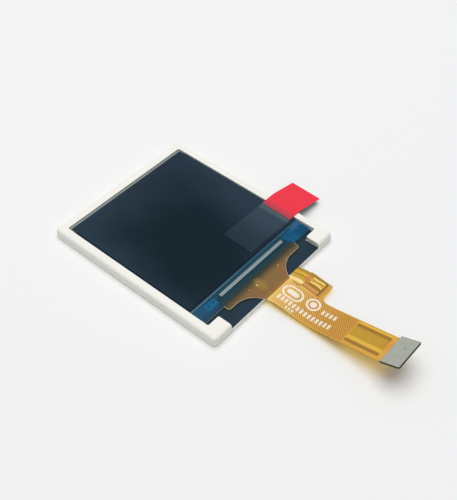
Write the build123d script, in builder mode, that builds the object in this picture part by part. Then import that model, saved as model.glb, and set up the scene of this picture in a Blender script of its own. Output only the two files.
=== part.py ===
from build123d import *
import math
import os

# A small square colour LCD module, in millimetres.
# The module lies on its back with the screen up. X runs across the screen, +Y points to the top of the picture,
# and the flexible circuit leaves towards -Y. The origin is the middle of the back of the frame.

# Frame
frame_width = 27.2
frame_length = 31.7
frame_corner = 0.55
frame_top_round = 0.5
frame_bottom_round = 0.2
side_rim = 1.35
top_rim = 1.45
rim_proud = 0.1
pocket_corner = 0.25
pad_length = 2.4
left_pad_width = 3.55
right_pad_width = 3.5
seat_side = 0.2
seat_top = 0.45

# Display cell
glass_thickness = 0.2
glass_clearance = 0.1
glass_corner_cut = 0.3
ledge_depth = 2.5
ledge_clearance = 0.75
polariser_thickness = 0.12
polariser_side_inset = 0.2
polariser_top_inset = 0.4
polariser_end_inset = 0.4
protective_film_thickness = 0.05

# Driver chip and the sealant round it
chip_length = 14.2
chip_width = 0.55
chip_thickness = 0.22
chip_from_glass = 0.65
sealant_thickness = 0.06
sealant_gap = 0.02
sealant_edge = 0.1

# Backlight films
reflector_thickness = 0.1
reflector_lap = 0.5
guide_thickness = 0.6
diffuser_thickness = 0.06
prism_thickness = 0.07
film_clearance = 0.1
film_past_glass = 0.3
guide_past_glass = 0.9
lug_length = 1.8
lug_out = 0.2
lug_from_top = 5.0
tape_thickness = 0.06
tape_clearance = 0.05
tape_window_inset = 0.2

# LEDs and their circuit
led_count = 3
led_from_light_side = 5.25
led_width = 3.8
led_depth = 1.0
led_height = 0.6
led_gap = 0.05
led_window_width = 3.0
led_window_height = 0.36
led_window_depth = 0.15
led_terminal_cut = 0.3
led_clearance = 0.1
led_flex_thickness = 0.12
led_flex_from_light_side = 2.45
led_flex_reach = 3.5
led_flex_from_films = 0.15
led_flex_corner = 0.4
led_flex_clearance = 0.1
led_tape_width = 0.4
led_tape_margin = 0.4
led_tail_width = 2.65
led_tail_offset = 0.22
led_tail_to_ear_end = 0.7
led_tail_leave = 0.22
led_tail_climb = 1.3
led_climb_bend = 1.0

# Flexible circuit, seen from above
bond_width = 16.2
bond_depth = 0.8
bond_film_thickness = 0.03
bond_film_edge = 0.05
flare_past_ledge = 1.0
flare_corner = 0.45
flare_shoulder = 1.05
flare_to_ear = 0.1
tail_centre = -0.25
tail_width = 5.0
tail_reach = 21.85
ear_width = 3.2
ear_from_frame = 2.05
ear_length = 4.0
ear_corner = 0.35
ear_root = 1.15
ear_step_round = 0.15
cover_from_frame = 0.45
plug_width = 5.4
plug_length = 2.95
plug_corner = 0.35
plug_shoulder = 0.12

# Flexible circuit, seen from the side
back_cover_thickness = 0.03
copper_thickness = 0.02
base_thickness = 0.04
cover_thickness = 0.03
stiffener_thickness = 0.2
stiffener_gap = 0.03
flex_past_ledge = 0.3
flex_lie_inside = 0.45
flex_lie_gap = 0.02
flex_leave = 2.55
flex_leave_drop = 0.03
flex_dip = 7.05
flex_dip_height = 0.47
flex_tip_run = 3.5
flex_rise_height = 2.76
flex_tip_height = 4.16
ledge_bend = 4.0
lie_bend = 8.0
tail_bend = 12.0
plug_bend = 4.0
bend_room = 0.95

# Copper leads and contacts
contact_count = 10
contact_pitch = 0.5
contact_width = 0.3
contact_length = 2.3
contact_from_end = 0.1
trace_width = 0.22
bond_lead_pitch = 1.0
lead_straight = 0.2
lead_fan_end = 0.4
signal_lead_width = 0.1
signals_from_left = 1.93
signals_from_right = 1.39
supply_lead_width = 0.58
supply_from_left = 0.82
supply_from_right = 0.97
plug_fan_start = 0.8

# Backlight tail on the ear
solder_width = 0.42
solder_length = 2.0
solder_height = 0.1
solder_pitch = 0.82
solder_from_tail_side = 0.93
solder_from_tail_end = 0.2
ear_gap = 0.02

# Pull tab
tab_width = 5.45
tab_angle = -1.25
tab_start_x = 2.15
tab_middle_y = -6.55
tab_length = 16.75
tab_tape_thickness = 0.05
tab_tape_length = 9.15
tab_grip_thickness = 0.08
tab_rim_gap = 0.01
tab_rise = 0.7
tab_past_rim = 0.5
tab_tip_height = 0.75
tab_bend = 3.0

# Heights of the stack, from the back to the screen
guide_bottom = reflector_thickness
guide_top = guide_bottom + guide_thickness
diffuser_top = guide_top + diffuser_thickness
lower_prism_top = diffuser_top + prism_thickness
shelf_height = lower_prism_top + prism_thickness
recess_floor = shelf_height + tape_thickness
array_bottom = recess_floor + polariser_thickness
ledge_height = array_bottom + glass_thickness
cell_top = ledge_height + glass_thickness
screen_height = cell_top + polariser_thickness
film_height = screen_height + protective_film_thickness
frame_height = screen_height + rim_proud
led_flex_bottom = shelf_height - led_flex_thickness

# Places along the module, from the top of the picture to the circuit end
frame_end = -frame_length / 2
pocket_top = frame_length / 2 - top_rim
pad_top = frame_end + pad_length
glass_top = pocket_top - glass_clearance
ledge_end = pad_top + ledge_clearance
upper_glass_end = ledge_end + ledge_depth
light_top = pocket_top - seat_top
film_top = light_top - film_clearance
film_end = upper_glass_end - film_past_glass
guide_end = upper_glass_end - guide_past_glass
light_end = guide_end - film_clearance
lug_y = light_top - lug_from_top
polariser_top = glass_top - polariser_top_inset
polariser_end = upper_glass_end + polariser_end_inset
led_front = guide_end - led_gap
led_back = led_front - led_depth
led_flex_start = film_end - led_flex_from_films
led_flex_end = led_flex_start - led_flex_reach

# Places across the module
pocket_width = frame_width - 2 * side_rim
glass_width = pocket_width - 2 * glass_clearance
polariser_width = glass_width - 2 * polariser_side_inset
light_width = pocket_width - 2 * seat_side
film_width = light_width - 2 * film_clearance
recess_left = left_pad_width - frame_width / 2
recess_right = frame_width / 2 - right_pad_width
tail_left = tail_centre - tail_width / 2
tail_right = tail_centre + tail_width / 2
plug_left = tail_centre - plug_width / 2
plug_right = tail_centre + plug_width / 2
ear_edge = tail_right + ear_width
led_tail_left = tail_right + led_tail_offset
led_tail_right = led_tail_left + led_tail_width
led_flex_width = light_width - 2 * led_flex_from_light_side
led_pitch = (light_width - 2 * led_from_light_side) / (led_count - 1)
led_places = [tail_centre + (i - (led_count - 1) / 2) * led_pitch for i in range(led_count)]

# Places along the flexible circuit
bond_start = ledge_end + bond_depth
flare_end = ledge_end - flare_past_ledge
cover_start = frame_end - cover_from_frame
ear_start = frame_end - ear_from_frame
ear_end = ear_start - ear_length
tail_end = frame_end - tail_reach
plug_start = tail_end + plug_length
led_tail_end = ear_end + led_tail_to_ear_end

# The flare sweeps down to the tail in one round, as large as its shoulder and the ear leave room for
flare_room_across = bond_width / 2 + tail_left - flare_corner - flare_shoulder
flare_room_along = flare_end - ear_start - ear_step_round - flare_to_ear
flare_radius = min(flare_room_across, flare_room_along)

# Heights of the circuit's layers above its underside
copper_low = back_cover_thickness
base_low = copper_low + copper_thickness
cover_low = base_low + base_thickness
flex_top = cover_low + cover_thickness
stiffener_top = cover_low + stiffener_thickness


# Side view of a bent sheet: a route of (run, height) points, bend radii at its inner points, and layers at set
# distances above it, so that every layer of one circuit follows the same bends.
def unit(start, finish):
    run = finish[0] - start[0]
    rise = finish[1] - start[1]
    length = math.hypot(run, rise)
    return run / length, rise / length


def bends_that_fit(route, bends):
    """The bend radii asked for, each cut down where the straight runs beside it leave less room."""
    steps = [unit(a, b) for a, b in zip(route, route[1:])]
    turns = [math.acos(min(1, a[0] * b[0] + a[1] * b[1])) for a, b in zip(steps, steps[1:])]
    takes = [0] + [radius * math.tan(turn / 2) for radius, turn in zip(bends, turns)] + [0]
    shares = [
        min(1, bend_room * math.dist(a, b) / (take1 + take2))
        for a, b, take1, take2 in zip(route, route[1:], takes, takes[1:])
    ]
    return [radius * min(share1, share2) for radius, share1, share2 in zip(bends, shares, shares[1:])]


def upward(direction):
    side = math.copysign(1, direction[0])
    return -direction[1] * side, direction[0] * side


def raised_route(route, height):
    steps = [unit(a, b) for a, b in zip(route, route[1:])]
    normals = [upward(step) for step in steps]
    before = [normals[0]] + normals
    after = normals + [normals[-1]]
    points = []
    for point, n1, n2 in zip(route, before, after):
        share = height / (1 + n1[0] * n2[0] + n1[1] * n2[1])
        points.append((point[0] + (n1[0] + n2[0]) * share, point[1] + (n1[1] + n2[1]) * share))
    return points


def raised_bends(route, bends, height):
    steps = [unit(a, b) for a, b in zip(route, route[1:])]
    radii = []
    for radius, (run1, rise1), (run2, rise2) in zip(bends, steps, steps[1:]):
        valley = rise2 / abs(run2) > rise1 / abs(run1)
        radii.append(radius - height if valley else radius + height)
    return radii


def bent_layer(plane, route, bends, low, high, width):
    """One layer of a bent sheet, as wide as asked, centred on the plane."""
    with BuildSketch(plane) as side_view:
        with BuildLine():
            under = FilletPolyline(*raised_route(route, low), radius=raised_bends(route, bends, low))
            over = FilletPolyline(*raised_route(route, high), radius=raised_bends(route, bends, high))
            Line(under @ 0, over @ 0)
            Line(under @ 1, over @ 1)
        make_face()
    extrude(side_view.sketch, amount=width / 2, both=True)


def corner_at(sketch, x, y):
    return sketch.vertices().sort_by_distance((x, y, 0))[0]


def corners_at(sketch, places):
    return [corner_at(sketch, x, y) for x, y in places]


def strip(x_low, x_high, y_low, y_high):
    """A rectangle given by its sides."""
    with Locations(((x_low + x_high) / 2, (y_low + y_high) / 2)):
        Rectangle(x_high - x_low, y_high - y_low)


# The flexible circuit rests on the ledge, slopes to the recess floor, leaves the frame, dips and springs up
flex_on_ledge = ledge_height + bond_film_thickness - copper_low
flex_on_floor = recess_floor + flex_lie_gap
flex_route = [
    (bond_start, flex_on_ledge),
    (ledge_end - flex_past_ledge, flex_on_ledge),
    (frame_end + flex_lie_inside, flex_on_floor),
    (frame_end - flex_leave, flex_on_floor - flex_leave_drop),
    (frame_end - flex_dip, flex_dip_height),
    (tail_end + flex_tip_run, flex_rise_height),
    (tail_end, flex_tip_height),
]
flex_bends = bends_that_fit(flex_route, [ledge_bend, lie_bend, tail_bend, tail_bend, plug_bend])
trim_height = flex_tip_height + frame_height


def flex_sheet(low, high):
    """One full layer of the main circuit, before it is cut to its outline."""
    bent_layer(Plane.YZ, flex_route, flex_bends, low, high, 2 * bond_width)


def flex_outline():
    """The main circuit's outline from above: flare, tail, ear and plug end."""
    with BuildSketch() as outline:
        with BuildLine():
            Polyline(
                (-bond_width / 2, bond_start),
                (-bond_width / 2, flare_end),
                (tail_left, flare_end),
                (tail_left, plug_start),
                (plug_left, plug_start),
                (plug_left, tail_end),
                (plug_right, tail_end),
                (plug_right, plug_start),
                (tail_right, plug_start),
                (tail_right, ear_end),
                (ear_edge, ear_end),
                (ear_edge, ear_start),
                (tail_right, ear_start),
                (tail_right, flare_end),
                (bond_width / 2, flare_end),
                (bond_width / 2, bond_start),
                close=True,
            )
        make_face()
        flare_tips = [(-bond_width / 2, flare_end), (bond_width / 2, flare_end)]
        flare_roots = [(tail_left, flare_end), (tail_right, flare_end)]
        ear_tips = [(ear_edge, ear_end), (ear_edge, ear_start)]
        plug_tips = [(plug_left, tail_end), (plug_right, tail_end)]
        shoulders = [(plug_left, plug_start), (plug_right, plug_start)]
        fillet(corners_at(outline, flare_tips), radius=flare_corner)
        fillet(corners_at(outline, flare_roots), radius=flare_radius)
        fillet(corners_at(outline, ear_tips), radius=ear_corner)
        fillet(corner_at(outline, tail_right, ear_end), radius=ear_root)
        fillet(corner_at(outline, tail_right, ear_start), radius=ear_step_round)
        fillet(corners_at(outline, plug_tips), radius=plug_corner)
        fillet(corners_at(outline, shoulders), radius=plug_shoulder)
    return outline.sketch


def light_shape(top, end, width, lug_clearance):
    """Outline shared by the light opening and by what lies in it, with a locating lug on each side."""
    strip(-width / 2, width / 2, end, top)
    lug_width = width + 2 * lug_out
    with Locations((0, lug_y)):
        Rectangle(lug_width, lug_length + 2 * lug_clearance)


def led_flex_shape(clearance):
    """Outline shared by the backlight circuit inside the frame and by its seat."""
    half = led_flex_width / 2 + clearance
    strip(tail_centre - half, tail_centre + half, led_flex_end - clearance, led_flex_start + clearance)


os.makedirs("parts", exist_ok=True)

# Moulded frame: rounded outside, display pocket with two corner pads, open recess for the circuit, light opening,
# LED bays, seats for the backlight circuit and the reflector
with BuildPart() as backlight_frame:
    with BuildSketch():
        RectangleRounded(frame_width, frame_length, frame_corner)
    extrude(amount=frame_height)
    fillet(backlight_frame.faces().sort_by(Axis.Z)[-1].edges(), radius=frame_top_round)
    fillet(backlight_frame.faces().sort_by(Axis.Z)[0].edges(), radius=frame_bottom_round)

    with BuildSketch(Plane.XY.offset(shelf_height)) as pocket:
        strip(-pocket_width / 2, pocket_width / 2, pad_top, pocket_top)
        strip(recess_left, recess_right, frame_end - pad_length, pad_top)
        pocket_corners = [(x, y) for x in (-pocket_width / 2, pocket_width / 2) for y in (pad_top, pocket_top)]
        pad_corners = [(recess_left, pad_top), (recess_right, pad_top)]
        fillet(corners_at(pocket, pocket_corners + pad_corners), radius=pocket_corner)
    extrude(amount=frame_height, mode=Mode.SUBTRACT)

    with BuildSketch(Plane.XY.offset(guide_bottom)):
        light_shape(light_top, light_end, light_width, film_clearance)
        with Locations(*[(x, light_end) for x in led_places]):
            bay_depth = light_end - led_back + led_clearance
            Rectangle(led_width + 2 * led_clearance, bay_depth, align=(Align.CENTER, Align.MAX))
    extrude(amount=frame_height, mode=Mode.SUBTRACT)

    with BuildSketch(Plane.XY.offset(led_flex_bottom)):
        led_flex_shape(led_flex_clearance)
        channel_left = led_tail_left - led_flex_clearance
        channel_right = led_tail_right + led_flex_clearance
        strip(channel_left, channel_right, frame_end - pad_length, led_flex_end)
    extrude(amount=frame_height, mode=Mode.SUBTRACT)

    seat_half = light_width / 2 + reflector_lap
    seat_end = led_back - led_clearance - reflector_lap
    with BuildSketch():
        strip(-seat_half, seat_half, seat_end, light_top + reflector_lap)
    extrude(amount=reflector_thickness, mode=Mode.SUBTRACT)
backlight_frame.part.label = "backlight_frame"
export_step(backlight_frame.part, "parts/backlight_frame.step")

# White sheet that closes the back
with BuildPart() as reflector_sheet:
    with BuildSketch():
        sheet_half = seat_half - film_clearance
        strip(-sheet_half, sheet_half, seat_end + film_clearance, light_top + reflector_lap - film_clearance)
    extrude(amount=reflector_thickness)
reflector_sheet.part.label = "reflector_sheet"
export_step(reflector_sheet.part, "parts/reflector_sheet.step")

# Clear plate that spreads the light of the LEDs
with BuildPart() as light_guide:
    with BuildSketch(Plane.XY.offset(guide_bottom)):
        light_shape(film_top, guide_end, film_width, 0)
    extrude(amount=guide_thickness)
light_guide.part.label = "light_guide"
export_step(light_guide.part, "parts/light_guide.step")

# Three optical films on the light guide
with BuildPart() as diffuser_sheet:
    with BuildSketch(Plane.XY.offset(guide_top)):
        light_shape(film_top, film_end, film_width, 0)
    extrude(amount=diffuser_thickness)
diffuser_sheet.part.label = "diffuser_sheet"
export_step(diffuser_sheet.part, "parts/diffuser_sheet.step")

with BuildPart() as lower_prism_sheet:
    with BuildSketch(Plane.XY.offset(diffuser_top)):
        light_shape(film_top, film_end, film_width, 0)
    extrude(amount=prism_thickness)
lower_prism_sheet.part.label = "lower_prism_sheet"
export_step(lower_prism_sheet.part, "parts/lower_prism_sheet.step")

with BuildPart() as upper_prism_sheet:
    with BuildSketch(Plane.XY.offset(lower_prism_top)):
        light_shape(film_top, film_end, film_width, 0)
    extrude(amount=prism_thickness)
upper_prism_sheet.part.label = "upper_prism_sheet"
export_step(upper_prism_sheet.part, "parts/upper_prism_sheet.step")

# Side-view LEDs: white housing with a shallow window towards the light guide and cut terminal corners behind
for number, led_x in enumerate(led_places, start=1):
    with BuildPart() as led:
        with BuildSketch(Plane.XY.offset(led_flex_bottom - led_height)) as led_plan:
            strip(led_x - led_width / 2, led_x + led_width / 2, led_back, led_front)
            chamfer(led_plan.vertices().group_by(Axis.Y)[0], length=led_terminal_cut)
        extrude(amount=led_height)
        with BuildSketch(Plane.XZ.offset(-led_front)):
            with Locations((led_x, led_flex_bottom - led_height / 2)):
                SlotOverall(led_window_width, led_window_height)
        extrude(amount=led_window_depth, mode=Mode.SUBTRACT)
    led.part.label = f"led_{number}"
    export_step(led.part, f"parts/led_{number}.step")

# Double-sided tape between the light guide and the backlight circuit
with BuildPart() as led_flex_tape:
    with BuildSketch(Plane.XY.offset(guide_top)):
        tape_half = led_flex_width / 2 - led_tape_margin
        strip(tail_centre - tape_half, tail_centre + tape_half, guide_end, guide_end + led_tape_width)
    extrude(amount=led_flex_bottom - guide_top)
led_flex_tape.part.label = "led_flex_tape"
export_step(led_flex_tape.part, "parts/led_flex_tape.step")

# Backlight circuit: a strip over the LEDs, and a tail that climbs onto the ear of the main circuit
ear_top_rise = flex_top + ear_gap
ear_bend, ear_dip = raised_route(flex_route, ear_top_rise)[3:5]
ear_slope = (ear_dip[1] - ear_bend[1]) / (ear_dip[0] - ear_bend[0])
led_tail_end_height = ear_bend[1] + ear_slope * (led_tail_end - ear_bend[0])
led_flex_route = [
    (led_flex_start, led_flex_bottom),
    (frame_end - led_tail_leave, led_flex_bottom),
    (frame_end - led_tail_leave - led_tail_climb, ear_bend[1]),
    ear_bend,
    (led_tail_end, led_tail_end_height),
]
led_dip_bend = flex_bends[2] - ear_top_rise
led_flex_bends = bends_that_fit(led_flex_route, [led_climb_bend, led_climb_bend, led_dip_bend])

with BuildPart() as led_flex:
    bent_layer(Plane.YZ, led_flex_route, led_flex_bends, 0, led_flex_thickness, 2 * led_flex_width)
    with BuildSketch() as led_flex_plan:
        led_flex_shape(0)
        strip(led_tail_left, led_tail_right, led_tail_end, led_flex_end)
        strip_half = led_flex_width / 2
        strip_corners = [(tail_centre - strip_half, led_flex_end), (tail_centre + strip_half, led_flex_end)]
        fillet(corners_at(led_flex_plan, strip_corners), radius=led_flex_corner)
    extrude(amount=trim_height, mode=Mode.INTERSECT)
led_flex.part.label = "led_flex"
export_step(led_flex.part, "parts/led_flex.step")

# Soldered joints on the end of the backlight tail
for number, side in enumerate((-1, 1), start=1):
    joint_x = led_tail_right - solder_from_tail_side + side * solder_pitch / 2
    joint_end = led_tail_end + solder_from_tail_end
    joint_high = led_flex_thickness + solder_height
    with BuildPart() as solder_joint:
        bent_layer(Plane.YZ, led_flex_route, led_flex_bends, led_flex_thickness, joint_high, 2 * led_flex_width)
        with BuildSketch():
            with Locations((joint_x, joint_end + solder_length / 2)):
                SlotOverall(solder_length, solder_width, rotation=90)
        extrude(amount=trim_height, mode=Mode.INTERSECT)
    solder_joint.part.label = f"solder_joint_{number}"
    export_step(solder_joint.part, f"parts/solder_joint_{number}.step")

# Black tape round the light opening, with a wide end that covers the backlight circuit. At the top it ends with the
# polariser, so the white seat shows through the bare border of the glass.
with BuildPart() as shading_tape:
    with BuildSketch(Plane.XY.offset(shelf_height)) as tape_plan:
        tape_half = pocket_width / 2 - tape_clearance
        strip(-tape_half, tape_half, pad_top + tape_clearance, polariser_top)
        strip(recess_left + tape_clearance, recess_right - tape_clearance, frame_end, pad_top + tape_clearance)
        tape_corners = [(x, y) for x in (-tape_half, tape_half) for y in (pad_top, polariser_top)]
        fillet(corners_at(tape_plan, tape_corners), radius=pocket_corner)
        window_half = polariser_width / 2 - tape_window_inset
        strip_low = polariser_end + tape_window_inset
        strip_high = polariser_top - tape_window_inset
        with Locations((0, (strip_low + strip_high) / 2)):
            Rectangle(2 * window_half, strip_high - strip_low, mode=Mode.SUBTRACT)
    extrude(amount=tape_thickness)
shading_tape.part.label = "shading_tape"
export_step(shading_tape.part, "parts/shading_tape.step")

# Display cell: rear polariser, lower glass with the ledge, upper glass, front polariser, protective film
with BuildPart() as rear_polariser:
    with BuildSketch(Plane.XY.offset(recess_floor)):
        strip(-polariser_width / 2, polariser_width / 2, polariser_end, polariser_top)
    extrude(amount=polariser_thickness)
rear_polariser.part.label = "rear_polariser"
export_step(rear_polariser.part, "parts/rear_polariser.step")

with BuildPart() as array_glass:
    with BuildSketch(Plane.XY.offset(array_bottom)) as array_plan:
        strip(-glass_width / 2, glass_width / 2, ledge_end, glass_top)
        chamfer(array_plan.vertices().group_by(Axis.Y)[0], length=glass_corner_cut)
    extrude(amount=glass_thickness)
array_glass.part.label = "array_glass"
export_step(array_glass.part, "parts/array_glass.step")

with BuildPart() as colour_filter_glass:
    with BuildSketch(Plane.XY.offset(ledge_height)):
        strip(-glass_width / 2, glass_width / 2, upper_glass_end, glass_top)
    extrude(amount=glass_thickness)
colour_filter_glass.part.label = "colour_filter_glass"
export_step(colour_filter_glass.part, "parts/colour_filter_glass.step")

with BuildPart() as front_polariser:
    with BuildSketch(Plane.XY.offset(cell_top)):
        strip(-polariser_width / 2, polariser_width / 2, polariser_end, polariser_top)
    extrude(amount=polariser_thickness)
front_polariser.part.label = "front_polariser"
export_step(front_polariser.part, "parts/front_polariser.step")

with BuildPart() as protective_film:
    with BuildSketch(Plane.XY.offset(screen_height)):
        strip(-polariser_width / 2, polariser_width / 2, polariser_end, polariser_top)
    extrude(amount=protective_film_thickness)
protective_film.part.label = "protective_film"
export_step(protective_film.part, "parts/protective_film.step")

# Bare driver chip on the ledge
chip_high = upper_glass_end - chip_from_glass
chip_low = chip_high - chip_width
with BuildPart() as driver_chip:
    with BuildSketch(Plane.XY.offset(ledge_height)):
        strip(-chip_length / 2, chip_length / 2, chip_low, chip_high)
    extrude(amount=chip_thickness)
driver_chip.part.label = "driver_chip"
export_step(driver_chip.part, "parts/driver_chip.step")

# Bonding film under the circuit, and the sealant over the rest of the ledge
with BuildPart() as bond_film:
    with BuildSketch(Plane.XY.offset(ledge_height)):
        film_half = bond_width / 2 - bond_film_edge
        strip(-film_half, film_half, ledge_end + bond_film_edge, bond_start - bond_film_edge)
    extrude(amount=bond_film_thickness)
bond_film.part.label = "bond_film"
export_step(bond_film.part, "parts/bond_film.step")

with BuildPart() as ledge_sealant:
    with BuildSketch(Plane.XY.offset(ledge_height)) as sealant_plan:
        sealant_half = glass_width / 2 - sealant_edge
        strip(-sealant_half, sealant_half, ledge_end + sealant_edge, upper_glass_end)
        chamfer(sealant_plan.vertices().group_by(Axis.Y)[0], length=glass_corner_cut)
        with Locations((0, (chip_low + chip_high) / 2)):
            chip_hole = (chip_length + 2 * sealant_gap, chip_width + 2 * sealant_gap)
            Rectangle(*chip_hole, mode=Mode.SUBTRACT)
        with Locations((0, bond_start + sealant_gap)):
            bond_hole = (bond_width + 2 * sealant_gap, 2 * bond_depth)
            Rectangle(*bond_hole, align=(Align.CENTER, Align.MAX), mode=Mode.SUBTRACT)
    extrude(amount=sealant_thickness)
ledge_sealant.part.label = "ledge_sealant"
export_step(ledge_sealant.part, "parts/ledge_sealant.step")

# Main flexible circuit: the same bent sheet cut to one outline, layer by layer
main_outline = flex_outline()

with BuildPart() as flex_base:
    flex_sheet(base_low, cover_low)
    with BuildSketch():
        add(main_outline)
    extrude(amount=trim_height, mode=Mode.INTERSECT)
flex_base.part.label = "flex_base"
export_step(flex_base.part, "parts/flex_base.step")

with BuildPart() as flex_cover:
    flex_sheet(cover_low, flex_top)
    with BuildSketch():
        add(main_outline)
        with Locations((0, (cover_start + plug_start) / 2)):
            Rectangle(2 * bond_width, cover_start - plug_start, mode=Mode.INTERSECT)
    extrude(amount=trim_height, mode=Mode.INTERSECT)
flex_cover.part.label = "flex_cover"
export_step(flex_cover.part, "parts/flex_cover.step")

with BuildPart() as flex_back_cover:
    flex_sheet(0, copper_low)
    with BuildSketch():
        add(main_outline)
        with Locations((0, (cover_start + plug_start) / 2)):
            Rectangle(2 * bond_width, cover_start - plug_start, mode=Mode.INTERSECT)
    extrude(amount=trim_height, mode=Mode.INTERSECT)
flex_back_cover.part.label = "flex_back_cover"
export_step(flex_back_cover.part, "parts/flex_back_cover.step")

# Copper leads: fanned out over the flare to the bond on the ledge, and at the plug to the pitch of the contacts. In
# the tail between, fine signal leads run close together with a wide supply lead on either side.
contact_places = [(i - (contact_count - 1) / 2) * contact_pitch for i in range(contact_count)]
signal_count = contact_count - 2
signal_left = tail_left + signals_from_left
signal_step = (tail_width - signals_from_left - signals_from_right) / (signal_count - 1)
tail_leads = [(signal_left + i * signal_step, signal_lead_width) for i in range(signal_count)]
tail_leads.insert(0, (tail_left + supply_from_left, supply_lead_width))
tail_leads.append((tail_right - supply_from_right, supply_lead_width))
with BuildPart() as copper_traces:
    flex_sheet(copper_low, base_low)
    with BuildSketch():
        for i, (offset, (tail_x, tail_lead_width)) in enumerate(zip(contact_places, tail_leads)):
            contact_x = tail_centre + offset
            bond_x = (i - (contact_count - 1) / 2) * bond_lead_pitch
            middle = [
                (bond_x, bond_start - bond_film_edge, trace_width),
                (bond_x, ledge_end - lead_straight, trace_width),
                (tail_x, frame_end - lead_fan_end, tail_lead_width),
                (tail_x, plug_start + plug_fan_start, tail_lead_width),
                (contact_x, plug_start, trace_width),
                (contact_x, tail_end + contact_from_end, trace_width),
            ]
            left_side = [(x - width / 2, y) for x, y, width in middle]
            right_side = [(x + width / 2, y) for x, y, width in reversed(middle)]
            with BuildLine():
                Polyline(*left_side, *right_side, close=True)
            make_face()
    extrude(amount=trim_height, mode=Mode.INTERSECT)
copper_traces.part.label = "copper_traces"
export_step(copper_traces.part, "parts/copper_traces.step")

# Gold contacts under the plug end
with BuildPart() as contact_fingers:
    flex_sheet(copper_low - copper_thickness, copper_low)
    with BuildSketch():
        for offset in contact_places:
            finger_x = tail_centre + offset
            finger_low = tail_end + contact_from_end
            half = contact_width / 2
            strip(finger_x - half, finger_x + half, finger_low, finger_low + contact_length)
    extrude(amount=trim_height, mode=Mode.INTERSECT)
contact_fingers.part.label = "contact_fingers"
export_step(contact_fingers.part, "parts/contact_fingers.step")

# Stiffener on the plug end
with BuildPart() as end_stiffener:
    flex_sheet(cover_low, stiffener_top)
    with BuildSketch():
        add(main_outline)
        with Locations((0, plug_start - stiffener_gap)):
            Rectangle(2 * plug_width, 2 * plug_length, align=(Align.CENTER, Align.MAX), mode=Mode.INTERSECT)
    extrude(amount=trim_height, mode=Mode.INTERSECT)
end_stiffener.part.label = "end_stiffener"
export_step(end_stiffener.part, "parts/end_stiffener.step")

# Pull tab: clear tape on the protective film, over the rim, with a red grip film that droops past the frame
tab_turn = math.radians(tab_angle)
tab_along = (math.cos(tab_turn), math.sin(tab_turn), 0)
tab_across = (math.sin(tab_turn), -math.cos(tab_turn), 0)
tab_side_plane = Plane((tab_start_x, tab_middle_y, 0), x_dir=tab_along, z_dir=tab_across)
tab_top_plane = Plane((tab_start_x, tab_middle_y, 0), x_dir=tab_along, z_dir=(0, 0, 1))
rim_inside = (pocket_width / 2 - tab_start_x - tab_width / 2 * abs(math.sin(tab_turn))) / math.cos(tab_turn)
rim_outside = (frame_width / 2 - tab_start_x) / math.cos(tab_turn)
over_rim = frame_height + tab_rim_gap
tab_route = [
    (0, film_height),
    (rim_inside - tab_rise, film_height),
    (rim_inside, over_rim),
    (rim_outside + tab_past_rim, over_rim),
    (tab_length, tab_tip_height),
]
tab_bends = bends_that_fit(tab_route, [tab_bend, tab_bend, tab_bend])
tab_grip_low = tab_tape_thickness
tab_grip_high = tab_grip_low + tab_grip_thickness

with BuildPart() as tab_tape:
    bent_layer(tab_side_plane, tab_route, tab_bends, 0, tab_tape_thickness, tab_width)
tab_tape.part.label = "tab_tape"
export_step(tab_tape.part, "parts/tab_tape.step")

with BuildPart() as pull_tab:
    bent_layer(tab_side_plane, tab_route, tab_bends, tab_grip_low, tab_grip_high, tab_width)
    with BuildSketch(tab_top_plane):
        with Locations((tab_tape_length, 0)):
            Rectangle(tab_length, 2 * tab_width, align=(Align.MIN, Align.CENTER))
    extrude(amount=trim_height, mode=Mode.INTERSECT)
pull_tab.part.label = "pull_tab"
export_step(pull_tab.part, "parts/pull_tab.step")
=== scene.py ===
# %% [markdown]
# # A small colour LCD module in a light studio
#
# The object is a bare display module, about 27 mm wide: a white moulded frame, a dark screen, a glass ledge
# with its driver chip, an amber flexible circuit and a red pull tab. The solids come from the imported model
# at their real size and stay where they are. This file gives each of them its finish, adds what is too thin
# or too fine for a solid, such as printed leads, the copper mesh in the circuit and the white ink on it,
# and lights it all for one photograph.

# %% Load the solids
import math

import bpy
from mathutils import Matrix, Vector


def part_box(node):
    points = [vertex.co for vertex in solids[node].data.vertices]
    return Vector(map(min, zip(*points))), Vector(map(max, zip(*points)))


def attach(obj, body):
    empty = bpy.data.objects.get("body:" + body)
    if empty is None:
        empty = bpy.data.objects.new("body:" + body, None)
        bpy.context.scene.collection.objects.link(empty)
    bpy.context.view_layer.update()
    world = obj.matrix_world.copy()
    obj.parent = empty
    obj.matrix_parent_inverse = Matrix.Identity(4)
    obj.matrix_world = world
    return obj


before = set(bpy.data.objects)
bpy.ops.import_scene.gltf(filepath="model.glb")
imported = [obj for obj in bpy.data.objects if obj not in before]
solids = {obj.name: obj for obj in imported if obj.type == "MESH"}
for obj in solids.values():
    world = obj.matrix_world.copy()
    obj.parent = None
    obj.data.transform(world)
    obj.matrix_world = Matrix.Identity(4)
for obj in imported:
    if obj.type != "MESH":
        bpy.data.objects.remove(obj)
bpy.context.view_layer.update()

MM = 0.001

# %% [markdown]
# ## Camera
#
# The photograph looks down on the module from one side, at about 47 degrees, with a longish lens. The
# place, the angles and the focal length were worked out from the frame's straight edges, so the same edges
# fall on the same pixels here. The focal length is given in pixels of the photograph and turned into
# millimetres of a 36 mm sensor.

# %% Camera
image_width_px = 457
focal_px = 854.6
sensor_mm = 36.0
camera_place = Vector((-66.52, -59.91, 93.91)) * MM
camera_azimuth, camera_elevation, camera_roll = (math.radians(angle) for angle in (-51.35, 47.15, 2.09))

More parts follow.
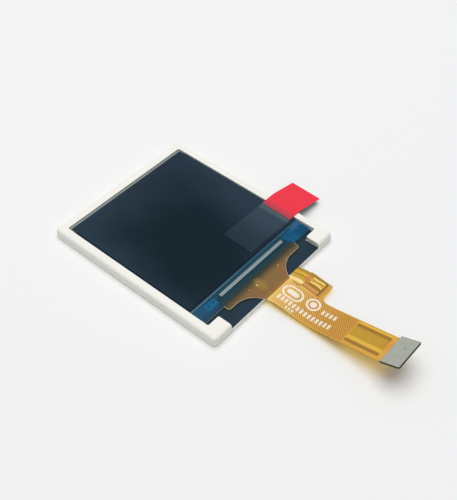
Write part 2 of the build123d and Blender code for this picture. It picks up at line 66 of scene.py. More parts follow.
camera_back = Vector((
    math.sin(camera_azimuth) * math.cos(camera_elevation),
    -math.cos(camera_azimuth) * math.cos(camera_elevation),
    math.sin(camera_elevation),
))
level_right = (-camera_back).cross(Vector((0, 0, 1))).normalized()
level_up = level_right.cross(-camera_back)
camera_right = level_right * math.cos(camera_roll) + level_up * math.sin(camera_roll)
camera_up = level_up * math.cos(camera_roll) - level_right * math.sin(camera_roll)

camera = bpy.data.objects.new("camera", bpy.data.cameras.new("camera"))
bpy.context.scene.collection.objects.link(camera)
camera.data.sensor_fit = "HORIZONTAL"
camera.data.sensor_width = sensor_mm
camera.data.lens = focal_px / image_width_px * sensor_mm
camera.data.clip_start = 1 * MM
turn = Matrix((camera_right, camera_up, camera_back)).transposed()
camera.matrix_world = Matrix.Translation(camera_place) @ turn.to_4x4()
bpy.context.scene.camera = camera
print("lens in mm:", round(camera.data.lens, 1))

# %% [markdown]
# ## A small language for materials
#
# Every finish is a node tree, and node trees are hard to read when they are wired by hand. So a socket is
# wrapped in a class that knows +, -, * and /, and a material in a class with one method that adds any node.
# A finish then reads like the sentence that describes it. Colours are written as they look on screen, 0 to
# 255, and turned into the linear values that the renderer wants.

# %% Sockets that do maths
class Wire:
    """A value that travels along a wire of one node tree."""

    def __init__(self, tree, socket):
        self.tree = tree
        self.socket = socket

    def twin(self, name):
        """Another output of the same node."""
        return Wire(self.tree, open_socket(self.socket.node.outputs, name))

    def maths(self, operation, first, second):
        return self.tree.node("ShaderNodeMath", {"operation": operation}, {0: first, 1: second})

    def __add__(self, other):
        return self.maths("ADD", self, other)

    def __radd__(self, other):
        return self.maths("ADD", other, self)

    def __sub__(self, other):
        return self.maths("SUBTRACT", self, other)

    def __rsub__(self, other):
        return self.maths("SUBTRACT", other, self)

    def __mul__(self, other):
        return self.maths("MULTIPLY", self, other)

    def __rmul__(self, other):
        return self.maths("MULTIPLY", other, self)

    def __truediv__(self, other):
        return self.maths("DIVIDE", self, other)

    def __rtruediv__(self, other):
        return self.maths("DIVIDE", other, self)

    def __mod__(self, other):
        return self.maths("FLOORED_MODULO", self, other)

    def __abs__(self):
        return self.maths("ABSOLUTE", self, 0)

    def less_than(self, other):
        return self.maths("LESS_THAN", self, other)

    def more_than(self, other):
        return self.maths("GREATER_THAN", self, other)

    def whole(self):
        return self.maths("FLOOR", self, 0)

    def highest(self, other):
        return self.maths("MAXIMUM", self, other)

    def root(self):
        return self.maths("SQRT", self, 0)

    def sine(self):
        return self.maths("SINE", self, 0)


def open_socket(sockets, name):
    """The socket of that name that the node shows with its present settings."""
    return next(socket for socket in sockets if socket.name == name and socket.enabled)


# %% One way to add any node
class Tree:
    """A node tree of a material or of a mesh."""

    def __init__(self, nodes_and_links):
        self.nodes = nodes_and_links.nodes
        self.links = nodes_and_links.links

    def node(self, kind, settings=None, inputs=None, output=0):
        """Adds a node: its settings first, then the values or wires of its inputs. Returns one output."""
        node = self.nodes.new(kind)
        for name, value in (settings or {}).items():
            setattr(node, name, value)
        for name, value in (inputs or {}).items():
            socket = node.inputs[name] if isinstance(name, int) else open_socket(node.inputs, name)
            self.feed(socket, value)
        if isinstance(output, int):
            return Wire(self, node.outputs[output])
        return Wire(self, open_socket(node.outputs, output))

    def feed(self, socket, value):
        if isinstance(value, Wire):
            self.links.new(value.socket, socket)
        else:
            socket.default_value = value

    def split(self, vector):
        """The x, y and z of a vector."""
        x = self.node("ShaderNodeSeparateXYZ", inputs={"Vector": vector}, output="X")
        return x, x.twin("Y"), x.twin("Z")

    def after(self, value, edge, soft):
        """0 below the edge and 1 above it, with a soft step."""
        return self.node(
            "ShaderNodeMapRange",
            {"interpolation_type": "SMOOTHSTEP"},
            {"Value": value, "From Min": edge - soft / 2, "From Max": edge + soft / 2},
        )

    def within(self, value, low, high, soft):
        """1 between two edges."""
        return self.after(value, low, soft) * (1 - self.after(value, high, soft))


# %% A material being painted
def linear(*screen):
    """A colour of 0 to 255, as seen on screen, as the linear colour with alpha that sockets hold."""
    shares = [value / 255 for value in screen]
    return [s / 12.92 if s <= 0.04045 else ((s + 0.055) / 1.055) ** 2.4 for s in shares] + [1]


class Paint(Tree):
    """One material, with places in millimetres and the masks that the finishes share."""

    def __init__(self, name):
        self.material = bpy.data.materials.new(name)
        self.material.use_nodes = True
        super().__init__(self.material.node_tree)
        self.surface = self.nodes["Principled BSDF"]
        object_place = self.node("ShaderNodeTexCoord", output="Object")
        in_mm = {0: object_place, "Scale": 1 / MM}
        self.place = self.node("ShaderNodeVectorMath", {"operation": "SCALE"}, in_mm)
        self.x, self.y, _ = self.split(self.place)
        self.facing_up = self.split(self.node("ShaderNodeNewGeometry", output="True Normal"))[2]

    def set(self, **values):
        """Sets the finish's own sockets, named as in Base_Color."""
        for name, value in values.items():
            self.feed(self.surface.inputs[name.replace("_", " ")], value)

    def noise(self, scale, detail=2.0, stretch=(1, 1, 1)):
        """Cloudy noise around 0.5, with scale features in a millimetre."""
        vector = self.node("ShaderNodeVectorMath", {"operation": "MULTIPLY"}, {0: self.place, 1: stretch})
        inputs = {"Vector": vector, "Scale": scale, "Detail": detail}
        return self.node("ShaderNodeTexNoise", inputs=inputs, output="Fac")

    def patch(self, x_low, x_high, y_low, y_high, soft):
        """1 inside a rectangle seen from above."""
        return self.within(self.x, x_low, x_high, soft) * self.within(self.y, y_low, y_high, soft)

    def disc(self, x, y, radius, soft, longer=0.0):
        """1 inside a disc seen from above, or inside a stadium that is longer along y by that much."""
        along = (abs(self.y - y) - longer / 2).highest(0)
        across = self.x - x
        return 1 - self.after((across * across + along * along).root(), radius, soft)

    def mix(self, share, first, second):
        """The first colour where share is 0 and the second where it is 1."""
        inputs = {"Factor": share, "A": first, "B": second}
        return self.node("ShaderNodeMix", {"data_type": "RGBA"}, inputs, output="Result")

    def along(self, value, *steps):
        """A colour that changes with a value: pairs of place and colour."""
        colour = steps[0][1]
        for (low, _), (high, following) in zip(steps, steps[1:]):
            inputs = {"Value": value, "From Min": low, "From Max": high}
            colour = self.mix(self.node("ShaderNodeMapRange", inputs=inputs), colour, following)
        return colour

    def bump(self, height, depth_mm):
        """A relief of that depth."""
        inputs = {"Height": height, "Distance": depth_mm * MM}
        self.set(Normal=self.node("ShaderNodeBump", inputs=inputs))

    def let_light_through(self, cover, tint, spared=0.0):
        """Makes a film: tinted and clear, with its own finish on a share of its upper face and edges.

        Light on its way to what lies behind is spared a part of that finish.
        """
        shadow = self.node("ShaderNodeLightPath", output="Is Shadow Ray")
        share = self.after(self.facing_up, -0.5, 0.1) * cover * (1 - shadow * spared)
        clear = self.node("ShaderNodeBsdfTransparent", inputs={"Color": tint})
        layers = {0: share, 1: clear, 2: Wire(self, self.surface.outputs[0])}
        film = self.node("ShaderNodeMixShader", inputs=layers)
        self.links.new(film.socket, self.nodes["Material Output"].inputs["Surface"])


def finish(paint, *names):
    """Gives the finished material to solids of the model."""
    for name in names:
        slots = solids[name].data.materials
        slots.clear()
        slots.append(paint.material)
    print(paint.material.name, "on", ", ".join(names))


# %% [markdown]
# ## Moulded frame
#
# The frame is injection-moulded in a warm white plastic with a fine satin grain. One flat white would look
# like plaster, so the colour drifts a little over centimetres, the gloss varies, and a bump finer than the
# eye can resolve breaks up the highlights on the rounded rim. The side walls are painted a shade darker as
# painted shade, all but the front wall under the circuit.

# %% Moulded white plastic
def moulded_white():
    paint = Paint("moulded_white")
    drift = paint.noise(0.12)
    colour = paint.mix(drift, linear(252, 251, 246), linear(245, 244, 237))
    # Painted shade: faces that look sideways are painted a duller, darker white, all but the front wall under
    # the circuit.
    painted_wall_shade = 1 - paint.after(abs(paint.facing_up), 0.45, 0.5)
    under_circuit = paint.patch(-9.8, 9.8, -16.3, -15.6, 0.1)
    colour = paint.mix(painted_wall_shade * (1 - under_circuit) * 0.6, colour, linear(236, 237, 226))
    paint.set(Base_Color=colour, Roughness=0.38 + paint.noise(1.5) * 0.14)
    paint.set(Specular_IOR_Level=0.2)
    paint.bump(paint.noise(14, detail=3), depth_mm=0.006)
    return paint


finish(moulded_white(), "backlight_frame")

# %% [markdown]
# ## Behind the screen
#
# The reflector closes the back: a white film with a pearly gloss. The light guide, the three films and the
# LEDs lie inside, where no view reaches, but they keep honest finishes for whoever takes the model apart.
# Printed dots, fine ribs and a yellow window tell them apart. A Voronoi pattern and a wave make the dots and
# the ribs, because modelling thousands of either would cost much and show nothing.

# %% Reflector
def reflector_film():
    paint = Paint("reflector_film")
    cloud = paint.noise(0.35)
    paint.set(Base_Color=paint.mix(cloud, linear(240, 241, 243), linear(228, 231, 235)))
    paint.set(Roughness=0.22 + paint.noise(3) * 0.1, Coat_Weight=0.3)
    paint.bump(paint.noise(2.5, detail=4), depth_mm=0.004)
    return paint


finish(reflector_film(), "reflector_sheet")

# %% Light guide and its films
def clear_plate():
    paint = Paint("clear_plate")
    dots = paint.node("ShaderNodeTexVoronoi", inputs={"Vector": paint.place, "Scale": 4.0}, output="Distance")
    dotted = paint.mix(paint.after(dots, 0.25, 0.1), linear(250, 253, 252), linear(226, 240, 236))
    paint.set(Base_Color=dotted, Roughness=0.08)
    paint.let_light_through(0.6, linear(246, 252, 250))
    return paint


def light_film():
    paint = Paint("light_film")
    ribs = paint.node(
        "ShaderNodeTexWave", {"bands_direction": "X"}, {"Vector": paint.place, "Scale": 6.0}, output="Fac"
    )
    paint.set(Base_Color=paint.mix(ribs, linear(232, 238, 240), linear(246, 249, 250)), Roughness=0.35)
    paint.bump(ribs, depth_mm=0.01)
    paint.let_light_through(0.8, linear(250, 252, 253))
    return paint


finish(clear_plate(), "light_guide")
finish(light_film(), "diffuser_sheet", "lower_prism_sheet", "upper_prism_sheet")

# %% LEDs
def led_white():
    paint = Paint("led_white")
    window_depth = 0.2
    front = paint.after(paint.y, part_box("led_1")[1].y / MM - window_depth, 0.04)
    paint.set(Base_Color=paint.mix(front, linear(246, 246, 244), linear(246, 226, 120)))
    paint.set(Roughness=0.3 + paint.noise(6) * 0.1)
    return paint


finish(led_white(), "led_1", "led_2", "led_3")

# %% [markdown]
# ## Shading tape
#
# Dark blue-grey tape masks the edge of the light and forms the floor of the recess beside the circuit. It
# is a satin film with a faint grain from its adhesive. Two near colours in soft clouds and a very fine bump
# are enough for it: a stronger pattern would look like cloth.

# %% Dark tape
def dark_tape():
    paint = Paint("dark_tape")
    cloud = paint.noise(0.6, detail=3)
    paint.set(Base_Color=paint.mix(cloud, linear(30, 48, 62), linear(42, 60, 75)))
    paint.set(Roughness=0.42 + paint.noise(5) * 0.15, Specular_IOR_Level=0.06)
    paint.bump(paint.noise(9, detail=2), depth_mm=0.005)
    return paint


finish(dark_tape(), "shading_tape", "led_flex_tape")

# %% [markdown]
# ## Screen
#
# The front polariser is nearly black. What shows in a switched-off screen is mostly the softened picture of
# the room, so a painted reflection lies on the dark colour as a broad drift: a green-blue cast in the middle,
# lighter and more navy towards the sides, and the gloss is kept low. The clear film above it touches it over
# its whole face. A renderer can't tell which of two touching faces comes first, and a clear one would flicker
# there, so the film is painted with the polariser's dark colour, the same painted reflection and a little
# haze.

# %% Polariser and clear films
def screen_colour_and_reflection(paint, lift=0):
    """The screen's dark colour with a painted reflection of the room, lighter by lift."""
    across = abs(paint.x + 1.5) / 12
    along = abs(paint.y + 1.0) / 15
    out = paint.node("ShaderNodeMath", {"operation": "SMOOTH_MAX"}, {0: across, 1: along, 2: 0.4})
    uneven = (paint.noise(0.15) - 0.5) * 0.5 - paint.x * paint.y * 0.0012
    # Painted reflection: the screen is painted lighter towards its sides, where the room's soft reflection
    # lies.
    reach = paint.after(out + uneven, 0.75, 0.9)
    left = linear(13 + lift, 31 + lift, 41 + lift)
    right = linear(18 + lift, 35 + lift, 52 + lift)
    dark = paint.mix(paint.after(paint.x, 6, 14), left, right)
    return paint.mix(reach, dark, linear(40 + lift, 56 + lift, 71 + lift))


def screen_dark():
    paint = Paint("screen_dark")
    paint.set(Base_Color=screen_colour_and_reflection(paint))
    paint.set(Roughness=0.12 + paint.noise(0.8) * 0.05, Specular_IOR_Level=0.05)
    return paint


def clear_film(name, lift, roughness):
    """A thin clear film on the screen: the screen's dark colour and painted reflection, with a little haze.
    """
    paint = Paint(name)
    paint.set(Base_Color=screen_colour_and_reflection(paint, lift), Specular_IOR_Level=0.05)
    paint.set(Roughness=roughness + paint.noise(2) * 0.04)
    return paint


def tab_film():
    paint = clear_film("clear_tape", lift=16, roughness=0.2)
    over_edge = paint.after(paint.x, 10.5, 0.7)
    paint.set(Base_Color=paint.mix(over_edge, screen_colour_and_reflection(paint, 16), linear(78, 96, 104)))
    return paint


finish(screen_dark(), "front_polariser", "rear_polariser")
finish(clear_film("screen_film", lift=2, roughness=0.1), "protective_film")
finish(tab_film(), "tab_tape")

# %% [markdown]
# ## Glass
#
# The two sheets of glass are thin, and only their bare border, the ledge and their cut edges show. Along
# the top the upper sheet lets the white seat shine through. Everywhere else there is something dark behind
# it. Its cut edges are painted light as a thin highlight, brighter towards the left, and a thin painted
# highlight runs along the top of the upper sheet's end over the ledge. A true glass shader would need
# everything behind it to be exact, so each sheet is painted in the colour that is seen through it, and only
# the gloss is that of glass.

# %% Display glass
def lower_glass():
    paint = Paint("lower_glass")
    # Painted highlight: the cut edges, which look sideways, are painted light, brighter towards the left.
    edge = 1 - paint.after(paint.facing_up, 0.5, 0.2)
    teal = paint.mix(paint.noise(0.8), linear(20, 62, 84), linear(26, 80, 108))
    bright = paint.mix(paint.after(paint.x, 0, 4), linear(206, 222, 214), linear(96, 140, 150))
    paint.set(Base_Color=paint.mix(edge, teal, bright))
    paint.set(Roughness=0.06 + paint.noise(4) * 0.03, Specular_IOR_Level=0.2)
    return paint


def upper_glass():
    paint = Paint("upper_glass")
    # Painted highlight: the cut edges are painted light, brighter towards the left.
    edge = 1 - paint.after(paint.facing_up, 0.5, 0.2)
    teal = paint.mix(paint.noise(0.8), linear(18, 52, 74), linear(24, 64, 90))
    bare = paint.mix(paint.after(paint.y, 13, 0.5), teal, linear(150, 158, 158))
    bright = paint.mix(paint.after(paint.x, -3, 8), linear(148, 184, 198), linear(88, 136, 158))
    # Painted highlight: a thin light line on the top face along the sheet's end over the ledge.
    painted_edge_highlight = paint.within(paint.y, -10.25, -10.15, 0.04)
    paint.set(Base_Color=paint.mix(edge.highest(painted_edge_highlight), bare, bright))
    paint.set(Roughness=0.06 + paint.noise(4) * 0.03, Specular_IOR_Level=0.2)
    return paint


finish(lower_glass(), "array_glass")
finish(upper_glass(), "colour_filter_glass")

# %% [markdown]
# ## Chip on the ledge
#
# The driver chip is a bare sliver of silicon. Its back is ground, so the grey is streaked along its length
# and the gloss runs with the streaks. Noise that is stretched along the chip makes both, and its bump. One
# end looks darker, where the sealant has crept up.

# %% Ground silicon
def chip_grey():
    paint = Paint("chip_grey")
    ground = paint.noise(3, detail=3, stretch=(0.4, 4, 1))
    bare = paint.mix(ground, linear(104, 122, 127), linear(131, 143, 148))
    paint.set(Base_Color=paint.mix(paint.after(paint.x, -7.0, 0.1), linear(60, 76, 78), bare))
    paint.set(Roughness=0.3 + ground * 0.15, Metallic=0.2)
    paint.bump(ground, depth_mm=0.003)
    return paint


finish(chip_grey(), "driver_chip")

# %% [markdown]
# ## Sealant on the ledge
#
# A thin blue sealant protects the leads on the bare glass. It is bright blue where nothing lies under it,
# at both ends of the ledge, and dark teal over the dense leads around the chip. Small square marks at the
# ends are the alignment marks that the bonding machine looks for. All of this is painted with masks, soft
# rectangles given in millimetres, because they stay sharp at any size and need no picture.

# %% Blue sealant
def blue_sealant():
    paint = Paint("blue_sealant")
    cloud = paint.noise(0.9, detail=3)
    left = paint.mix(paint.after(paint.y, -11.9, 0.8), linear(30, 68, 98), linear(28, 80, 112))
    left = paint.mix(paint.patch(-10.1, -7.9, -11.75, -10.5, 0.15), left, linear(20, 98, 139))
    right = paint.mix(cloud, linear(16, 79, 115), linear(18, 98, 140))
    right = paint.mix(paint.patch(10.0, 13, -10.9, -10, 0.8) * 0.5, right, linear(70, 108, 150))
    right = paint.mix(paint.patch(9.9, 13, -13.0, -11.2, 0.6) * 0.7, right, linear(14, 70, 106))
    ends = paint.mix(paint.after(paint.x, 0, 1), left, right)
    teal = paint.mix(paint.after(paint.y, -11.2, 0.8), linear(14, 56, 73), linear(28, 73, 90))
    colour = paint.mix(paint.within(paint.x, -7.9, 7.8, 0.4), ends, teal)
    half_mark = 0.16
    for x, y in ((-9.4, -11.1), (-8.5, -11.1), (8.8, -11.0), (11.4, -11.1)):
        mark = paint.patch(x - half_mark, x + half_mark, y - half_mark, y + half_mark, 0.08)
        colour = paint.mix(mark * 0.75, colour, linear(4, 44, 76))
    colour = paint.mix((cloud - 0.5) * 0.6, colour, linear(4, 40, 62))
    paint.set(Base_Color=colour, Roughness=0.12 + paint.noise(1.2) * 0.12, Specular_IOR_Level=0.07)
    paint.bump(paint.noise(0.8, detail=3), depth_mm=0.02)
    return paint


finish(blue_sealant(), "ledge_sealant")

# %% [markdown]
# ## Flexible circuit
#
# The circuit is a sandwich of amber polyimide films around copper. The films tint the light that passes,
# which is why the real one casts a yellow glow on the table, so each film is a mix of a tinted clear shader
# and its own satin finish. White ink is printed on the upper film: one lozenge with a bar in it, one ring
# with a dot in it, and rows of short blank bars.

# %% Upper cover film with its ink
def ink_bars(paint, x_low, x_high, y_low, y_high, pitch):
    """A column of short bars across the tail."""
    printed_share = 0.52
    row = (paint.y - y_low) / pitch % 1.0
    bar = paint.within(row, (1 - printed_share) / 2, (1 + printed_share) / 2, 0.3)
    return bar * paint.patch(x_low, x_high, y_low, y_high, 0.08)


def white_ink(paint):
    lozenge_x, lozenge_y = 0.45, -18.4
    outline = paint.disc(lozenge_x, lozenge_y, 1.1, 0.1, longer=1.2)
    outline = outline * (1 - paint.disc(lozenge_x, lozenge_y, 0.85, 0.1, longer=1.1))
    bar = paint.disc(lozenge_x, lozenge_y, 0.42, 0.15, longer=1.1)
    ring_x, ring_y = 0.85, -21.7
    ring = paint.disc(ring_x, ring_y, 1.1, 0.1) * (1 - paint.disc(ring_x, ring_y, 0.8, 0.1))
    dot = paint.disc(ring_x, ring_y, 0.5, 0.1)
    long_column = ink_bars(paint, -1.7, -0.85, -26.1, -16.9, 0.66)
    short_column = ink_bars(paint, -2.4, -1.95, -20.4, -18.8, 0.5)
    upper_column = ink_bars(paint, 0.15, 0.95, -25.9, -23.3, 0.66)
    ink = outline
    for part in (bar, ring, dot, long_column, short_column, upper_column):
        ink = ink.highest(part)
    return ink * (0.68 + paint.noise(5, detail=3) * 0.3)


def cover_film():
    paint = Paint("cover_film")
    amber = paint.along(
        paint.y,
        (-34.8, linear(232, 186, 100)),
        (-34.0, linear(232, 188, 92)),
        (-27.0, linear(226, 182, 94)),
        (-22.0, linear(242, 202, 113)),
        (-17.0, linear(255, 228, 146)),
    )
    amber = paint.mix(paint.noise(0.7, detail=3) * 0.3, amber, linear(214, 156, 70))
    rims = paint.after(abs(paint.x + 0.3), 2.3, 0.3) * paint.after(paint.y * -1, 21, 3)
    amber = paint.mix(rims * 0.6, amber, linear(206, 158, 66))
    window = paint.patch(-1.45, 2.0, -34.0, -28.7, 0.1)
    amber = paint.mix(window, amber, linear(238, 200, 84))
    amber = paint.mix(paint.disc(0.1, -34.5, 0.9, 0.8) * 0.6, amber, linear(222, 152, 72))
    step = paint.patch(1.8, 4.7, -21.52, -21.4, 0.06)
    amber = paint.mix(step * 0.7, amber, linear(150, 92, 34))
    amber = paint.mix(paint.after(paint.x, 5.15, 0.15), amber, linear(190, 156, 74))
    ink = white_ink(paint)
    paint.set(Base_Color=paint.mix(ink, amber, linear(255, 250, 240)))
    paint.set(Roughness=0.3 + paint.noise(2.5) * 0.12, Specular_IOR_Level=0.12)
    paint.bump(paint.noise(1.2, detail=3), depth_mm=0.01)
    paint.let_light_through(0.7 + ink * 0.3, linear(254, 247, 192), spared=0.73)
    return paint


finish(cover_film(), "flex_cover")

# %% [markdown]
# The base film runs from the ledge to the plug. It looks amber on the white table, brown over the dark recess
# and blue-green over the ledge, where the sealant shows through. Clear layers alone would give that only if
# the copper and glue behind them were exact, so the flare is painted as a scale of colours along its length,
# nearly solid, and turns clear where it leaves the frame.

# %% Base film, brown where it lies in the recess
def flare_cast(paint):
    """The colour of the flare: teal over the ledge, then brown, amber outside the frame."""
    amber = paint.along(
        paint.y,
        (-16.3, linear(232, 172, 72)),
        (-16.1, linear(160, 115, 44)),
        (-15.6, linear(131, 99, 57)),
        (-14.0, linear(137, 103, 60)),
        (-13.5, linear(114, 90, 56)),
        (-13.2, linear(88, 75, 50)),
        (-12.8, linear(52, 54, 42)),
        (-12.3, linear(30, 54, 57)),
        (-11.9, linear(14, 56, 70)),
    )
    amber = paint.mix(paint.disc(0.9, -14.6, 1.1, 1.6) * 0.4, amber, linear(122, 106, 60))
    arms = paint.after(abs(paint.x + 0.2), 2.6, 1.6) * paint.after(paint.y * -1, 13.8, 0.8)
    amber = paint.mix(arms * 0.35, amber, linear(146, 98, 64))
    glow = paint.disc(-1.4, -14.0, 0.5, 1.1, longer=1.0)
    amber = paint.mix(glow * 0.55, amber, linear(184, 152, 56))
    # Painted highlights: a few small bright gold spots where the film catches the light.
    for x, y, size in ((-1.95, -13.7, 0.14), (-3.4, -13.5, 0.05), (3.05, -13.6, 0.07)):
        amber = paint.mix(paint.disc(x, y, size, 0.16, longer=0.1), amber, linear(236, 206, 116))
    worn = paint.noise(0.9, detail=3) * paint.after(paint.y * -1, 12.8, 0.8)
    return paint.mix(worn * 0.25, amber, linear(84, 66, 42))


def base_film():
    paint = Paint("base_film")
    cut_edge = paint.after(-34.9 - paint.y, 0, 0.1) * (1 - paint.after(abs(paint.facing_up), 0.6, 0.2))
    paint.set(Base_Color=paint.mix(cut_edge, flare_cast(paint), linear(60, 48, 32)))
    paint.set(Roughness=0.3 + paint.noise(2.5) * 0.12, Specular_IOR_Level=0.12)
    paint.bump(paint.noise(1.2, detail=3), depth_mm=0.01)
    inside = paint.after(paint.y, -16.2, 0.3)
    paint.let_light_through(0.5 + inside * 0.5, linear(254, 245, 180), spared=0.73)
    return paint


def back_film():
    paint = Paint("back_film")
    paint.set(Base_Color=paint.mix(paint.noise(0.5, detail=3), linear(228, 170, 64), linear(206, 146, 52)))
    paint.set(Roughness=0.3 + paint.noise(2.5) * 0.12, Specular_IOR_Level=0.12)
    paint.let_light_through(0.35, linear(254, 245, 180), spared=0.73)
    return paint


def bond_amber():
    paint = Paint("bond_amber")
    cloud = paint.noise(1, detail=3)
    paint.set(Base_Color=paint.mix(cloud, linear(30, 54, 62), linear(46, 66, 68)), Roughness=0.3)
    return paint


finish(base_film(), "flex_base")
finish(back_film(), "flex_back_cover")
finish(bond_amber(), "bond_film")

# %% [markdown]
# The copper and the gold contacts lie under the films and show only at their edges and from below. Two near
# tones of metal, mixed by noise, keep them from looking like paint.

# %% Copper and contacts
def copper_sheet():
    paint = Paint("copper_sheet")
    paint.set(Base_Color=paint.mix(paint.noise(2), linear(196, 128, 70), linear(170, 100, 48)), Metallic=0.6)
    paint.set(Roughness=0.35 + paint.noise(4) * 0.1)
    return paint


def gold_plate():
    paint = Paint("gold_plate")
    paint.set(Base_Color=paint.mix(paint.noise(2), linear(240, 205, 120), linear(214, 172, 84)), Metallic=0.9)
    paint.set(Roughness=0.25 + paint.noise(5) * 0.1)
    return paint


finish(copper_sheet(), "copper_traces")
finish(gold_plate(), "contact_fingers")

# %% [markdown]
# ## Backlight circuit
#
# A second, smaller circuit brings power to the LEDs. Its tail comes out beside the main one and lies on the
# ear, where two solder joints hold it. It is more yellow than the main circuit, with two broad gold tracks.
# These are few and straight, so masks draw them in the finish. The solder's ridge is raised by a bump and
# painted as a bright highlight on a darker foot, and a sine along the joint makes the ridge wander.

# %% Backlight circuit and solder
def backlight_film():
    paint = Paint("backlight_film")
    gold = paint.mix(paint.noise(1.2, detail=3), linear(214, 178, 74), linear(192, 154, 56))
    low = 1 - paint.after(paint.y, -18.45, 0.3)
    colour = paint.mix(paint.patch(2.3, 3.08, -18.35, -15.0, 0.15), gold, linear(255, 226, 160))
    colour = paint.mix(paint.within(paint.x, 3.92, 4.68, 0.1), colour, linear(224, 174, 64))
    half_line = 0.07
    for x in (3.9, 4.7):
        line = paint.within(paint.x, x - half_line, x + half_line, 0.08)
        colour = paint.mix(line * 0.85, colour, linear(126, 80, 24))
    colour = paint.mix(low * paint.within(paint.x, 2.3, 3.12, 0.2), colour, linear(212, 152, 84))
    colour = paint.mix(low * paint.within(paint.x, 3.12, 3.52, 0.15), colour, linear(164, 114, 54))
    colour = paint.mix(paint.patch(3.3, 4.9, -18.8, -18.1, 0.5) * 0.7, colour, linear(204, 128, 76))
    colour = paint.mix(paint.after(paint.x, 4.94, 0.12) * 0.9, colour, linear(132, 104, 24))
    colour = paint.mix((1 - paint.after(paint.y, -21.05, 0.12)) * 0.8, colour, linear(120, 74, 28))
    paint.set(Base_Color=colour, Roughness=0.25 + paint.noise(2) * 0.1, Specular_IOR_Level=0.12)
    paint.bump(paint.noise(1.5), depth_mm=0.02)
    return paint


def solder_tin(number):
    """The solder's ridge wanders from side to side as it runs along the joint."""
    name = f"solder_joint_{number}"
    paint = Paint(f"solder_tin_{number}")
    low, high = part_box(name)
    middle = (low.x + high.x) / 2 / MM
    wander = (paint.y * 3.4 + number).sine() * 0.07
    # Painted highlight: the ridge is painted pale and bright, and the same mask raises it as a bump.
    ridge_highlight = 1 - paint.after(abs(paint.x - middle - wander), 0.12, 0.14)
    paint.set(Base_Color=paint.mix(ridge_highlight, linear(204, 154, 52), linear(255, 238, 140)))
    paint.set(Roughness=0.25 + paint.noise(3) * 0.1, Specular_IOR_Level=0.25)
    paint.bump(ridge_highlight, depth_mm=0.05)
    return paint


finish(backlight_film(), "led_flex")
for number in (1, 2):
    finish(solder_tin(number), f"solder_joint_{number}")

# %% [markdown]
# ## Stiffener and pull tab
#
# The stiffener is a grey board with a cut edge that looks darker. Its face and its edge are one solid, so the
# finish tells them apart by the direction in which they look. The pull tab is a red film, even in colour
# where it stands free and duller where the dark screen lies under it.

# %% Grey board
def stiffener_board():
    paint = Paint("stiffener_board")
    top = paint.mix(paint.noise(1.2, detail=4), linear(160, 166, 157), linear(179, 182, 171))
    for x, y, share in ((0.5, -36.4, 0.7), (1.6, -36.5, 0.3)):
        top = paint.mix(paint.disc(x, y, 0.13, 0.15) * share, top, linear(96, 104, 108))
    low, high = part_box("end_stiffener")
    inner = paint.patch(low.x / MM + 0.07, high.x / MM - 0.04, low.y / MM + 0.16, 0, 0.05)
    face = paint.after(abs(paint.facing_up), 0.6, 0.2)
    paint.set(Base_Color=paint.mix(face * inner, linear(38, 36, 30), top))
    paint.set(Roughness=0.45 + paint.noise(4) * 0.1, Specular_IOR_Level=0.15)
    return paint


finish(stiffener_board(), "end_stiffener")

# %% Red film
def red_film():
    paint = Paint("red_film")
    red = paint.mix(paint.noise(0.4), linear(246, 55, 74), linear(240, 62, 81))
    over_screen = 1 - paint.after(paint.x, 12.2, 1.2)
    paint.set(Base_Color=paint.mix(over_screen * 0.75, red, linear(164, 72, 84)))
    paint.set(Roughness=0.45 + paint.noise(3) * 0.08, Specular_IOR_Level=0.08)
    paint.let_light_through(1.0, linear(255, 176, 186), spared=0.8)
    return paint


finish(red_film(), "pull_tab")

# %% [markdown]
# ## Leads that follow a rule
#
# The circuit has hundreds of printed leads, too thin for solids and too regular to draw by hand. Geometry
# Nodes suit them: a rule places all of them and lowers them onto the solid that carries them. The class
# below builds such a tree, runs it once and keeps only the plain mesh.

# %% A geometry tree that becomes a mesh
WELD = 0.0005 * MM


